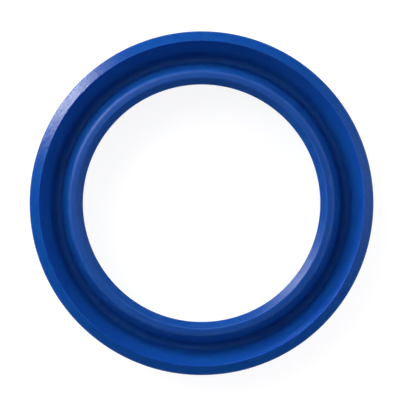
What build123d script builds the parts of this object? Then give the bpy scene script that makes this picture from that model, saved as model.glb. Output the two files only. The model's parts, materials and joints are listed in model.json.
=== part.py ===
from build123d import *
import os
from math import radians, tan

# U-cup seal for a 50 mm rod running in a 70 mm gland bore, 12 mm high, moulded in one piece.
# Millimetres. Z is the seal's axis. The heel's back face lies on Z = 0 and the groove opens towards +Z.
# The lips are drawn free, as moulded, so they reach past the rod and the gland bore that they will seal.

# ---- nominal fit ----
rod_d = 50.0
ring_width = 10.0  # radial room between the rod and the gland bore
seal_height = 12.0

# ---- heel, the thick ring that rests on the gland's shoulder ----
heel_rod_gap = 0.1  # all round, between the heel and the rod
heel_gland_gap = 0.15  # all round, between the heel and the gland bore
heel_wall = 4.5  # height of the heel's straight walls, below the flare of the lips
heel_chamfer = 0.5  # on the back face's two edges

# ---- inner lip, which wipes the rod ----
rod_squeeze = 0.5  # how far the free lip's edge stands inside the rod's surface
inner_bevel_width = 1.4
inner_bevel_angle = 45.0  # below horizontal
inner_land = 1.55  # width of the lip's top, from its bevel to the groove
inner_land_angle = 6.0  # below horizontal, falling towards the groove
mouth_round = 1.0  # rounding from the land into the groove

# ---- outer lip, which seals on the gland bore ----
gland_squeeze = 0.6  # how far the free lip's edge, before rounding, stands outside the gland bore
outer_bevel_width = 2.1
outer_bevel_angle = 36.0  # below horizontal, from the crest to the edge
outer_edge_round = 0.5

# ---- groove between the lips ----
groove_depth = 5.8
floor_round = 1.0

# ---- places that follow from the sizes above ----
rod_r = rod_d / 2
gland_r = rod_r + ring_width
heel_bore_r = rod_r + heel_rod_gap
heel_outer_r = gland_r - heel_gland_gap
inner_edge_r = rod_r - rod_squeeze
outer_edge_r = gland_r + gland_squeeze
inner_land_r = inner_edge_r + inner_bevel_width
mouth_r = inner_land_r + inner_land
crest_r = outer_edge_r - outer_bevel_width
inner_edge_z = seal_height - inner_bevel_width * tan(radians(inner_bevel_angle))
mouth_z = seal_height - inner_land * tan(radians(inner_land_angle))
outer_edge_z = seal_height - outer_bevel_width * tan(radians(outer_bevel_angle))

# Corners of the section without its groove, as radius and height, anticlockwise from the heel's bore
section_corners = [
    (heel_bore_r, 0),
    (heel_outer_r, 0),
    (heel_outer_r, heel_wall),
    (outer_edge_r, outer_edge_z),
    (crest_r, seal_height),
    (mouth_r, mouth_z),
    (inner_land_r, seal_height),
    (inner_edge_r, inner_edge_z),
    (heel_bore_r, heel_wall),
]

# The groove's section: a round floor midway between rod and gland, and a straight wall from it to each lip
with BuildSketch() as groove:
    with BuildLine():
        CenterArc(((rod_r + gland_r) / 2, seal_height - groove_depth + floor_round), floor_round, 0, 360)
        Line((mouth_r, mouth_z), (crest_r, seal_height))
    make_hull()

with BuildPart() as seal_ring:
    with BuildSketch(Plane.XZ) as section:
        with BuildLine():
            Polyline(*section_corners, close=True)
        make_face()
        chamfer(section.vertices().group_by(Axis.Y)[0], heel_chamfer)
        fillet(section.vertices().sort_by(Axis.X)[-1], outer_edge_round)
        add(groove.sketch, mode=Mode.SUBTRACT)
        fillet(section.vertices().sort_by_distance((mouth_r, mouth_z))[0], mouth_round)
    revolve(axis=Axis.Z)

seal_ring.part.label = "seal_ring"
os.makedirs("parts", exist_ok=True)
export_step(seal_ring.part, "parts/seal_ring.step")
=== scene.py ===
import json
from math import acos, atan2, cos, hypot, pi, radians, sin, tan

import bpy
import numpy as np
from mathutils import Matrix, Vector, noise


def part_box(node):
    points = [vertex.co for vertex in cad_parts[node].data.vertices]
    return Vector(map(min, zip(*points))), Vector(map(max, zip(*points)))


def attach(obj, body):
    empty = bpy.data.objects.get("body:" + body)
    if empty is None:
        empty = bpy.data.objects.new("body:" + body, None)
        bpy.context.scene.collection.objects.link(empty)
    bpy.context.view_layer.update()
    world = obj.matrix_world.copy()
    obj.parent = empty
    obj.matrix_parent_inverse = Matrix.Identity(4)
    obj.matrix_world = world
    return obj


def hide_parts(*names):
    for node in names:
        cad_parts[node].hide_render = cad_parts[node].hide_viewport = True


# One moulded U-cup seal of blue polyurethane, seen from straight above, into its open side.
# The section and the material's marks are sized in millimetres, and everything in the scene in metres.
MM = 0.001

# ---- section of the seal, radius and height in millimetres ----
HEEL_WALL = 4.5
HEEL_CHAMFER = 0.5
HEEL_EDGE_ROUND = 0.12
FLARE_BLEND = 4.0  # rounding from the heel's straight walls into the flare of the lips
INNER_EDGE_R = 24.5
INNER_BEVEL_WIDTH = 1.4
INNER_BEVEL_ANGLE = 45.0
INNER_LAND = 1.55
INNER_LAND_ANGLE = 6.0
INNER_EDGE_ROUND = 0.3
INNER_LAND_ROUND = 0.35
MOUTH_ROUND = 1.0
OUTER_EDGE_R = 35.6
OUTER_BEVEL_WIDTH = 2.1
OUTER_BEVEL_ANGLE = 36.0
OUTER_EDGE_ROUND = 0.5
CREST_ROUND = 0.08
GROOVE_MIDDLE_R = 30.0
GROOVE_DEPTH = 5.8
FLOOR_ROUND = 1.0

# ---- small unevennesses, in millimetres and degrees round the ring ----
LIP_WAVE = 0.04  # how far the soft lips stray from round
LIP_WAVE_PACE = 1.6  # how fast that changes round the ring
LIP_WAVE_SEED = 0.3
WITNESS_AZIMUTH = 301.0  # middle of the two fine lines that the trimming knife left inside the crest
WITNESS_SPAN = 15.0  # either side of there
WITNESS_R = (32.9, 33.25)
WITNESS_WIDTH = 0.09
WITNESS_DEPTH = 0.09
WITNESS_MARGIN = 0.14  # how far past the lines the mesh stays fine
NICK_AZIMUTH = 322.0  # one shallow nick beside them
NICK_R = 33.3
NICK_WIDTH = 0.3
NICK_DEPTH = 0.09

# ---- mesh ----
SEGMENTS = 600
STEP_SHOWN = 0.35  # longest edge along the section, in millimetres, where the camera looks
STEP_FINE = 0.055  # across the knife's lines
STEP_HIDDEN = 1.2  # on the heel and the flares
ARC_STEP = radians(11)

# ---- material, with its marks in millimetres ----
BLUE_DEEP = (0.0030, 0.066, 0.318, 1)
BLUE_BRIGHT = (0.0045, 0.078, 0.354, 1)
PAINTED_GLOW_BLUE = (0.0024, 0.064, 0.352, 1)  # painted glow: a deeper, more saturated blue painted where light shines through the thin edge of the outer lip, in place of that light
# where the painted glow of light through the outer lip begins, and how far it fades in
PAINTED_GLOW_R = 32.2
PAINTED_GLOW_BLUR = 2.4
TINT_SIZE = 9.0
MOTTLE_SIZE = 1.3
MOTTLE_RELIEF = 0.02
DIMPLE_SIZE = 0.6
DIMPLE_RELIEF = 0.065
TURNING_SIZE = 0.35
TURNING_RELIEF = 0.01
TURNING_DRIFT = 3.0  # how fast the mould's turning marks change round the ring
GRAIN_SIZE = 0.12
GRAIN_RELIEF = 0.003
MOULDED = (0.38, 0.48)  # roughness, from and to
INNER_CUT = (0.30, 0.38)
OUTER_CUT = (0.15, 0.21)
CUT_BLUR = 0.05  # width over which one finish gives way to the next
INNER_CUT_BLUR = 0.3  # and over the rounded top of the inner bevel
GLOSS = 0.31  # specular level
SCATTER = (0.3, 0.6, 1.0)  # how far red, green and blue light spread below the surface
NOISE_MIDDLE = (0.3, 0.7)  # where most of a noise from 0 to 1 lies

# ---- studio, with angles in degrees and strengths at which an open white floor renders white ----
RING_ZENITH = 52.5  # from straight up
RING_WIDTH = 8.0
RING_STRENGTH = 2.72
RING_BRIGHT_AZIMUTH = 100.0
RING_LEAN = 0.62  # how much brighter the ring is on that side
# azimuth, angle from straight up, focus and strength
SOFT_LIGHTS = {
    "key": (142.0, 80.5, 55.0, 21.3),
    "overhead": (143.0, 37.5, 60.0, 6.27),
    "fill": (5.0, 86.0, 8.5, 0.77),
}
FLOOR_SIZE = 6.0  # metres
FLOOR_ALBEDO = 0.8  # where it lights the seal
FLOOR_GLOW = 0.85  # where it is seen, the white that no shadow darkens
FLOOR_SHADE = 0.3  # and the part that the seal's shadow does
HORIZON = 0.05  # height of the white band behind the far edge of the floor
HORIZON_BLUR = 0.02

# ---- camera, in metres ----
VIEW_WIDTH = 0.0826
VIEW_DISTANCE = 0.5
VIEW_DROP = 0.0011  # how far below the crest the view has that width and distance
AIM = (-0.00033, 0.00067)  # the middle of the view, from the seal's axis
SENSOR_WIDTH = 36  # millimetres


def groove_floor_corner(mouth, crest):
    """Where the groove's straight walls would meet, if they ran on past the round floor that they touch."""
    centre_z = crest[1] - GROOVE_DEPTH + FLOOR_ROUND

    def lean(reach, rise):
        return acos(FLOOR_ROUND / hypot(reach, rise)) - atan2(rise, reach)

    inner = lean(GROOVE_MIDDLE_R - mouth[0], mouth[1] - centre_z)
    outer = lean(crest[0] - GROOVE_MIDDLE_R, crest[1] - centre_z)
    spread = sin(inner + outer)
    aside = FLOOR_ROUND * (sin(inner) - sin(outer)) / spread
    below = FLOOR_ROUND * (cos(inner) + cos(outer)) / spread
    return GROOVE_MIDDLE_R + aside, centre_z - below


def section_corners(record, height):
    """The corners, anticlockwise from the heel's bore: radius, height, rounding, longest edge after it."""
    radius = {m["name"]: m["dims"].get("r_mm") for m in record["mounts"]}
    bore, heel = radius["rod_bore"], radius["heel_outside"]
    land_r = INNER_EDGE_R + INNER_BEVEL_WIDTH
    mouth = land_r + INNER_LAND, height - INNER_LAND * tan(radians(INNER_LAND_ANGLE))
    crest = OUTER_EDGE_R - OUTER_BEVEL_WIDTH, height
    outer_edge_z = height - OUTER_BEVEL_WIDTH * tan(radians(OUTER_BEVEL_ANGLE))
    inner_edge_z = height - INNER_BEVEL_WIDTH * tan(radians(INNER_BEVEL_ANGLE))
    return [
        (bore, HEEL_CHAMFER, HEEL_EDGE_ROUND, STEP_HIDDEN),
        (bore + HEEL_CHAMFER, 0, HEEL_EDGE_ROUND, STEP_HIDDEN),
        (heel - HEEL_CHAMFER, 0, HEEL_EDGE_ROUND, STEP_HIDDEN),
        (heel, HEEL_CHAMFER, HEEL_EDGE_ROUND, STEP_HIDDEN),
        (heel, HEEL_WALL, FLARE_BLEND, STEP_HIDDEN),
        (OUTER_EDGE_R, outer_edge_z, OUTER_EDGE_ROUND, STEP_SHOWN),
        (*crest, CREST_ROUND, STEP_SHOWN),
        (*groove_floor_corner(mouth, crest), FLOOR_ROUND, STEP_SHOWN),
        (*mouth, MOUTH_ROUND, STEP_SHOWN),
        (land_r, height, INNER_LAND_ROUND, STEP_SHOWN),
        (INNER_EDGE_R, inner_edge_z, INNER_EDGE_ROUND, STEP_HIDDEN),
        (bore, HEEL_WALL, FLARE_BLEND, STEP_HIDDEN),
    ]


def trimmed_above(height):
    """The height above which a knife trimmed each lip to its bevel, inner lip first."""
    inner = INNER_BEVEL_WIDTH * tan(radians(INNER_BEVEL_ANGLE))
    outer = OUTER_BEVEL_WIDTH * tan(radians(OUTER_BEVEL_ANGLE))
    return height - inner, height - outer - OUTER_EDGE_ROUND / 2


def rounded_outline(corners):
    """The closed outline through the corners, each one rounded, as an array of (radius, height)."""
    points = np.array([c[:2] for c in corners], float)
    outline = []
    for i, (_, _, rounding, longest) in enumerate(corners):
        here, after = points[i], points[(i + 1) % len(points)]
        back = points[i - 1] - here
        on = after - here
        back /= np.linalg.norm(back)
        on /= np.linalg.norm(on)
        half = acos(float(np.clip(back @ on, -1, 1))) / 2
        middle = back + on
        centre = here + middle / np.linalg.norm(middle) * rounding / sin(half)
        start, end = here + back * rounding / tan(half), here + on * rounding / tan(half)
        a0 = atan2(*(start - centre)[::-1])
        turn = (atan2(*(end - centre)[::-1]) - a0 + pi) % (2 * pi) - pi
        steps = max(2, round(abs(turn) / ARC_STEP))
        for k in range(steps + 1):
            a = a0 + turn * k / steps
            outline.append((centre + rounding * np.array([cos(a), sin(a)]), longest if k == steps else None))
    out = []
    for i, (p, longest) in enumerate(outline):
        out.append(p)
        if longest:
            q = outline[(i + 1) % len(outline)][0]
            out += cut_up(p, q, longest)
    return np.array(out)


def cut_up(start, end, longest):
    """Points between two ends, finer across the knife's lines on the groove's outer wall."""
    marked = max(WITNESS_R) + WITNESS_MARGIN, min(WITNESS_R) - WITNESS_MARGIN
    stops = [start, end]
    if end[0] < min(marked) and max(marked) < start[0]:
        stops[1:1] = [start + (end - start) * (start[0] - r) / (start[0] - end[0]) for r in marked]
    points = []
    for i, (a, b) in enumerate(zip(stops, stops[1:])):
        cuts = int(np.ceil(np.linalg.norm(b - a) / (STEP_FINE if i == 1 else longest)))
        points += [a + (b - a) * k / cuts for k in range(cuts)]
    return points[1:]


def unevenness(outline, turn, height):
    """How far each point is pushed outwards, and how far raised off the surface, at each turn."""
    r, z = outline[:, 0], outline[:, 1]
    places = [Vector((LIP_WAVE_PACE * cos(a), LIP_WAVE_PACE * sin(a), LIP_WAVE_SEED)) for a in turn]
    wave = np.array([noise.noise(place) for place in places])
    free = np.clip((z - HEEL_WALL) / (height - HEEL_WALL), 0, 1) ** 2
    pushed = LIP_WAVE * np.outer(wave, free)

    outer_lip = (z > height - GROOVE_DEPTH) & (r > GROOVE_MIDDLE_R)
    inside_crest = r < OUTER_EDGE_R - OUTER_BEVEL_WIDTH
    lines = sum(np.exp(-(((r - line_r) / WITNESS_WIDTH) ** 2)) for line_r in WITNESS_R)
    along = np.degrees(turn) - WITNESS_AZIMUTH
    lines = np.outer(np.exp(-((along / WITNESS_SPAN) ** 4)), lines * outer_lip * inside_crest)
    aside = radians(1) * (np.degrees(turn) - NICK_AZIMUTH) * NICK_R
    nick = np.exp(-((aside[:, None] ** 2 + (r[None, :] - NICK_R) ** 2) / NICK_WIDTH**2)) * outer_lip
    return pushed, -WITNESS_DEPTH * lines - NICK_DEPTH * nick


def ring_mesh(name, outline, height):
    """The outline turned about Z, in metres, with its small unevennesses."""
    count = len(outline)
    turn = np.arange(SEGMENTS) * 2 * pi / SEGMENTS
    tangent = np.roll(outline, -1, axis=0) - np.roll(outline, 1, axis=0)
    tangent /= np.linalg.norm(tangent, axis=1, keepdims=True)
    pushed, raised = unevenness(outline, turn, height)
    r = (outline[:, 0] + pushed + raised * tangent[:, 1]) * MM
    z = (outline[:, 1] - raised * tangent[:, 0]) * MM
    vertices = np.stack([np.cos(turn)[:, None] * r, np.sin(turn)[:, None] * r, z], axis=-1).reshape(-1, 3)
    ring, along = np.meshgrid(np.arange(SEGMENTS), np.arange(count), indexing="ij")
    ring_on, along_on = (ring + 1) % SEGMENTS, (along + 1) % count
    faces = np.stack(
        [ring * count + along, ring_on * count + along, ring_on * count + along_on, ring * count + along_on],
        axis=-1,
    ).reshape(-1, 4)
    mesh = bpy.data.meshes.new(name)
    mesh.from_pydata(vertices.tolist(), [], faces.tolist())
    mesh.polygons.foreach_set("use_smooth", [True] * len(mesh.polygons))
    mesh.update()
    return mesh


class Graph:
    """Short ways to add and link shader nodes."""

    def __init__(self, owner):
        owner.use_nodes = True
        self.tree = owner.node_tree
        self.tree.nodes.clear()

    def node(self, kind, inputs=None, **settings):
        node = self.tree.nodes.new(kind)
        for name, value in settings.items():
            setattr(node, name, value)
        for key, value in (inputs or {}).items():
            self.feed(node.inputs[key], value)
        return node

    def feed(self, socket, value):
        if isinstance(value, bpy.types.NodeSocket):
            self.tree.links.new(value, socket)
        else:
            socket.default_value = value

    def math(self, operation, *values, clamp=False):
        settings = {"operation": operation, "use_clamp": clamp}
        return self.node("ShaderNodeMath", dict(enumerate(values)), **settings).outputs[0]

    def vector(self, operation, *values):
        return self.node("ShaderNodeVectorMath", dict(enumerate(values)), operation=operation).outputs[0]

    def noise(self, place, size, detail=0, w=None):
        """Smooth noise from 0 to 1 with patches of about a size in millimetres, in 4-D if w is given."""
        inputs = {"Vector": place, "Scale": 1 / size, "Detail": detail}
        dimensions = "3D"
        if w is not None:
            inputs["W"] = w
            dimensions = "4D"
        return self.node("ShaderNodeTexNoise", inputs, noise_dimensions=dimensions).outputs["Fac"]

    def step(self, value, edge, width):
        """0 below an edge and 1 above it."""
        inputs = {"Value": value, "From Min": edge - width / 2, "From Max": edge + width / 2}
        return self.node("ShaderNodeMapRange", inputs, interpolation_type="SMOOTHSTEP").outputs["Result"]

    def between(self, noise, low, high):
        """A noise stretched to run from low to high."""
        start, end = NOISE_MIDDLE
        inputs = {"Value": noise, "From Min": start, "From Max": end, "To Min": low, "To Max": high}
        return self.node("ShaderNodeMapRange", inputs).outputs["Result"]

    def mix(self, factor, off, on):
        return self.node("ShaderNodeMix", {0: factor, 2: off, 3: on}, data_type="FLOAT").outputs[0]

    def mix_colour(self, factor, off, on):
        return self.node("ShaderNodeMix", {0: factor, 6: off, 7: on}, data_type="RGBA").outputs[2]


def polyurethane(inner_cut_z, outer_cut_z):
    """Satin where it was moulded, glossier on the two cut bevels, and dimpled on the outer one."""
    material = bpy.data.materials.new("polyurethane")
    graph = Graph(material)
    place = graph.vector("MULTIPLY", graph.node("ShaderNodeTexCoord").outputs["Object"], (1 / MM,) * 3)
    flat = graph.vector("MULTIPLY", place, (1, 1, 0))
    radius = graph.node("ShaderNodeVectorMath", {0: flat}, operation="LENGTH").outputs["Value"]
    height = graph.node("ShaderNodeSeparateXYZ", {0: place}).outputs["Z"]
    around = graph.vector("MULTIPLY", graph.vector("NORMALIZE", flat), (TURNING_DRIFT, TURNING_DRIFT, 0))
    lathe = graph.vector("ADD", around, graph.node("ShaderNodeCombineXYZ", {2: radius}).outputs[0])
    outer = graph.step(radius, OUTER_EDGE_R - OUTER_BEVEL_WIDTH, CUT_BLUR)
    outer = graph.math("MULTIPLY", outer, graph.step(height, outer_cut_z, CUT_BLUR))
    inner = graph.math("SUBTRACT", 1, graph.step(radius, INNER_EDGE_R + INNER_BEVEL_WIDTH, INNER_CUT_BLUR))
    inner = graph.math("MULTIPLY", inner, graph.step(height, inner_cut_z, CUT_BLUR))
    # painted glow: the outer lip's groove wall, short of its cut bevel, is painted deeper blue for light
    # shining through the thin lip
    lip = graph.step(radius, PAINTED_GLOW_R, PAINTED_GLOW_BLUR)
    lip = graph.math("MULTIPLY", lip, graph.math("SUBTRACT", 1, outer))

    blue = graph.mix_colour(graph.noise(place, TINT_SIZE), BLUE_DEEP, BLUE_BRIGHT)
    mottle = graph.noise(place, MOTTLE_SIZE, detail=2)
    dimples = graph.noise(place, DIMPLE_SIZE, detail=1)
    turning = graph.noise(lathe, TURNING_SIZE, w=height)
    grain = graph.noise(place, GRAIN_SIZE)

    roughness = graph.mix(inner, graph.between(mottle, *MOULDED), graph.between(mottle, *INNER_CUT))
    roughness = graph.mix(outer, roughness, graph.between(mottle, *OUTER_CUT))
    relief = graph.math("MULTIPLY", graph.math("MULTIPLY", dimples, outer), DIMPLE_RELIEF)
    relief = graph.math("MULTIPLY_ADD", mottle, MOTTLE_RELIEF, relief)
    relief = graph.math("MULTIPLY_ADD", turning, TURNING_RELIEF, relief)
    relief = graph.math("MULTIPLY_ADD", grain, GRAIN_RELIEF, relief)
    relief = graph.math("MULTIPLY", relief, MM)
    shader = graph.node(
        "ShaderNodeBsdfPrincipled",
        {
            # the base colour carries the painted glow of light through the outer lip
            "Base Color": graph.mix_colour(lip, blue, PAINTED_GLOW_BLUE),
            "Roughness": roughness,
            "Specular IOR Level": GLOSS,
            "Subsurface Weight": 1.0,
            "Subsurface Radius": SCATTER,
            "Subsurface Scale": MM,
            "Normal": graph.node("ShaderNodeBump", {"Height": relief, "Distance": 1.0}).outputs[0],
        },
        subsurface_method="RANDOM_WALK",
    )
    graph.node("ShaderNodeOutputMaterial", {"Surface": shader.outputs[0]})
    return material


def white_floor():
    """White where it is seen or mirrored, with the seal's shadow, and a pale grey as it lights the seal."""
    material = bpy.data.materials.new("white_floor")
    graph = Graph(material)
    path = graph.node("ShaderNodeLightPath").outputs
    seen = graph.math("ADD", path["Is Camera Ray"], path["Is Glossy Ray"])
    seen = graph.math("ADD", seen, path["Is Transmission Ray"], clamp=True)
    glow = graph.node("ShaderNodeEmission", {"Strength": FLOOR_GLOW})
    shaded = graph.node("ShaderNodeBsdfDiffuse", {"Color": (FLOOR_SHADE,) * 3 + (1,)})
    bright = graph.node("ShaderNodeAddShader", {0: glow.outputs[0], 1: shaded.outputs[0]})
    plain = graph.node("ShaderNodeBsdfDiffuse", {"Color": (FLOOR_ALBEDO,) * 3 + (1,)})
    mixed = graph.node("ShaderNodeMixShader", {0: seen, 1: plain.outputs[0], 2: bright.outputs[0]})
    graph.node("ShaderNodeOutputMaterial", {"Surface": mixed.outputs[0]})
    return material


def add_stage():
    """A white floor for the seal to lie on."""
    mesh = bpy.data.meshes.new("floor")
    half = FLOOR_SIZE / 2
    corners = [(-half, -half, 0), (half, -half, 0), (half, half, 0), (-half, half, 0)]
    mesh.from_pydata(corners, [], [(0, 1, 2, 3)])
    floor = bpy.data.objects.new("floor", mesh)
    bpy.context.scene.collection.objects.link(floor)
    floor.data.materials.append(white_floor())


def towards(azimuth, zenith):
    """The direction at an azimuth from +X and an angle from straight up."""
    a, z = radians(azimuth), radians(zenith)
    return sin(z) * cos(a), sin(z) * sin(a), cos(z)


def add_world():
    """A ring of light and three soft lights on a dark sky, with a white band beyond the floor."""
    world = bpy.data.worlds.new("studio")
    bpy.context.scene.world = world
    graph = Graph(world)
    direction = graph.node("ShaderNodeTexCoord").outputs["Generated"]

    def facing(axis):
        inputs = {0: direction, 1: axis}
        return graph.node("ShaderNodeVectorMath", inputs, operation="DOT_PRODUCT").outputs["Value"]

    off_ring = graph.math("SUBTRACT", graph.math("ARCCOSINE", facing((0, 0, 1))), radians(RING_ZENITH))
    off_ring = graph.math("DIVIDE", off_ring, radians(RING_WIDTH))
    fade = graph.math("MULTIPLY", off_ring, off_ring)
    lean = graph.math("MULTIPLY", facing(towards(RING_BRIGHT_AZIMUTH, 90)), RING_LEAN)
    light = graph.math("MULTIPLY", graph.math("EXPONENT", graph.math("SUBTRACT", lean, fade)), RING_STRENGTH)
    for azimuth, zenith, focus, strength in SOFT_LIGHTS.values():
        spread = graph.math("MULTIPLY", graph.math("SUBTRACT", facing(towards(azimuth, zenith)), 1), focus)
        light = graph.math("MULTIPLY_ADD", graph.math("EXPONENT", spread), strength, light)
    above = graph.step(facing((0, 0, 1)), HORIZON, HORIZON_BLUR)
    light = graph.math("MAXIMUM", light, graph.math("SUBTRACT", 1, above))
    background = graph.node("ShaderNodeBackground", {"Color": (1, 1, 1, 1), "Strength": light})
    graph.node("ShaderNodeOutputWorld", {"Surface": background.outputs[0]})


def add_camera(height):
    """Straight above the seal, looking down at a height."""
    data = bpy.data.cameras.new("camera")
    data.sensor_width = SENSOR_WIDTH
    data.lens = SENSOR_WIDTH * VIEW_DISTANCE / VIEW_WIDTH
    data.clip_start = 0.01
    camera = bpy.data.objects.new("camera", data)
    camera.location = (*AIM, height + VIEW_DISTANCE)
    bpy.context.scene.collection.objects.link(camera)
    bpy.context.scene.camera = camera


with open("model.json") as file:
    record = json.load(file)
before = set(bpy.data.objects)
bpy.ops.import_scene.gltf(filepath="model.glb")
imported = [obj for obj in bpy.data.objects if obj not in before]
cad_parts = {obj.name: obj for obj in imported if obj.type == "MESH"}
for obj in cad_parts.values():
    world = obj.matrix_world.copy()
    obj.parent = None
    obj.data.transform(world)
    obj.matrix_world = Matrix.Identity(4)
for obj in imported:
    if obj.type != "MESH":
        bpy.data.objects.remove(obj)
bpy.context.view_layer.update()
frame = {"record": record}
_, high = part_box("seal_ring")
seal_height = high.z / MM

outline = rounded_outline(section_corners(frame["record"], seal_height))
ring = bpy.data.objects.new("seal", ring_mesh("seal", outline, seal_height))
bpy.context.scene.collection.objects.link(ring)
ring.data.materials.append(polyurethane(*trimmed_above(seal_height)))
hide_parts("seal_ring")
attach(ring, "root")

add_stage()
add_world()
add_camera(high.z - VIEW_DROP)
bpy.context.scene.view_settings.view_transform = "Standard"
